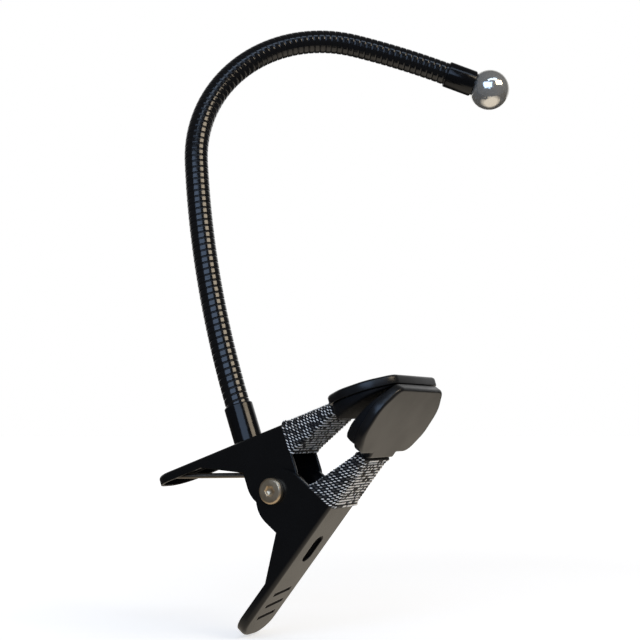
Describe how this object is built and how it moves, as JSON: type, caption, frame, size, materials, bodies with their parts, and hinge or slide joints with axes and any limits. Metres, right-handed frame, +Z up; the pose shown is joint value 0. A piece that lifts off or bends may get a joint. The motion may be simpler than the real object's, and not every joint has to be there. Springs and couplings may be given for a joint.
{
  "type": "gooseneck arm mount",
  "caption": "Spring clamp with padded jaws and a ribbed, bendable gooseneck arm that ends in a ball, made to hold a phone cradle at a table edge.",
  "frame": {"origin": "where the closed jaws grip, on the clamp's bisector 48 mm from the pivot, midway between the two levers", "axes": "+Z up along the standing arm, +Y along the pivot screw from its head to its nut, +X towards the jaw tips"},
  "size_m": [0.1104, 0.1254, 0.2439],
  "materials": {
    "lever_paint": "satin",
    "braid": "woven, black with white flecks",
    "jaw_shell": "satin",
    "jaw_pad": "textured",
    "bright_steel": "satin",
    "spring_steel": "drawn wire",
    "ferrule": "gloss",
    "neck_skin": "gloss",
    "ball_chrome": "polished"
  },
  "bodies": {
    "upper_jaw": {"upper_lever": "lever_paint", "upper_jaw_sleeve": "braid", "upper_jaw_shell": "jaw_shell", "upper_jaw_pad": "jaw_pad", "pivot_screw": "bright_steel", "pivot_spacer": "bright_steel", "pivot_nut": "bright_steel", "torsion_spring": "spring_steel", "neck_base_ferrule": "ferrule", "neck_screw": "bright_steel", "neck_washer": "bright_steel", "neck_link_01": "neck_skin"},
    "lower_jaw": {"lower_lever": "lever_paint", "lower_jaw_sleeve": "braid", "lower_jaw_shell": "jaw_shell", "lower_jaw_pad": "jaw_pad"},
    "neck_02": {"neck_link_02": "neck_skin"},
    "neck_03": {"neck_link_03": "neck_skin"},
    "neck_04": {"neck_link_04": "neck_skin"},
    "neck_05": {"neck_link_05": "neck_skin"},
    "neck_06": {"neck_link_06": "neck_skin"},
    "neck_07": {"neck_link_07": "neck_skin"},
    "neck_08": {"neck_link_08": "neck_skin"},
    "neck_09": {"neck_link_09": "neck_skin"},
    "neck_10": {"neck_link_10": "neck_skin"},
    "neck_11": {"neck_link_11": "neck_skin"},
    "neck_12": {"neck_link_12": "neck_skin", "tip_ferrule": "ferrule", "ball_stud": "ball_chrome"}
  },
  "joints": [
    {"name": "jaw_hinge", "type": "hinge", "parent": "upper_jaw", "child": "lower_jaw", "pos_m": [-0.03898, 0, -0.02801], "axis": [0, 1, 0], "range_deg": [0, 52], "stiffness_Nm_per_rad": 0.35, "springref_deg": -97.4, "deforming": ["torsion_spring"]},
    {"name": "neck_bend_01", "type": "hinge", "parent": "upper_jaw", "child": "neck_02", "pos_m": [-0.06766, 0.001, 0.02237], "axis": [-0.5989, 0.7716, -0.2142], "range_deg": [-15, 12]},
    {"name": "neck_sway_02", "type": "hinge", "parent": "neck_02", "child": "neck_03", "pos_m": [-0.07349, 0.00189, 0.0419], "axis": [0.7537, 0.6335, 0.1749], "range_deg": [-14, 14]},
    {"name": "neck_bend_03", "type": "hinge", "parent": "neck_03", "child": "neck_04", "pos_m": [-0.07861, 0.00339, 0.06158], "axis": [-0.5989, 0.7716, -0.2142], "range_deg": [-15, 12]},
    {"name": "neck_bend_04", "type": "hinge", "parent": "neck_04", "child": "neck_05", "pos_m": [-0.08301, 0.00547, 0.08139], "axis": [-0.5989, 0.7716, -0.2142], "range_deg": [-15, 12]},
    {"name": "neck_sway_05", "type": "hinge", "parent": "neck_05", "child": "neck_06", "pos_m": [-0.08668, 0.00814, 0.10128], "axis": [0.7838, 0.6197, 0.0408], "range_deg": [-14, 14]},
    {"name": "neck_bend_06", "type": "hinge", "parent": "neck_06", "child": "neck_07", "pos_m": [-0.08702, 0.01332, 0.12089], "axis": [-0.5989, 0.7716, -0.2142], "range_deg": [-24, 6]},
    {"name": "neck_bend_07", "type": "hinge", "parent": "neck_07", "child": "neck_08", "pos_m": [-0.08153, 0.02238, 0.13819], "axis": [-0.5989, 0.7716, -0.2142], "range_deg": [-24, 6]},
    {"name": "neck_sway_08", "type": "hinge", "parent": "neck_08", "child": "neck_09", "pos_m": [-0.07094, 0.03413, 0.1509], "axis": [0.5164, 0.1677, -0.8397], "range_deg": [-14, 14]},
    {"name": "neck_bend_09", "type": "hinge", "parent": "neck_09", "child": "neck_10", "pos_m": [-0.05665, 0.04701, 0.15733], "axis": [-0.5989, 0.7716, -0.2142], "range_deg": [-24, 6]},
    {"name": "neck_bend_10", "type": "hinge", "parent": "neck_10", "child": "neck_11", "pos_m": [-0.04054, 0.05933, 0.15664], "axis": [-0.5989, 0.7716, -0.2142], "range_deg": [-24, 6]},
    {"name": "neck_sway_11", "type": "hinge", "parent": "neck_11", "child": "neck_12", "pos_m": [-0.02426, 0.07059, 0.15172], "axis": [-0.09, -0.3307, -0.9394], "range_deg": [-14, 14]}
  ]
}
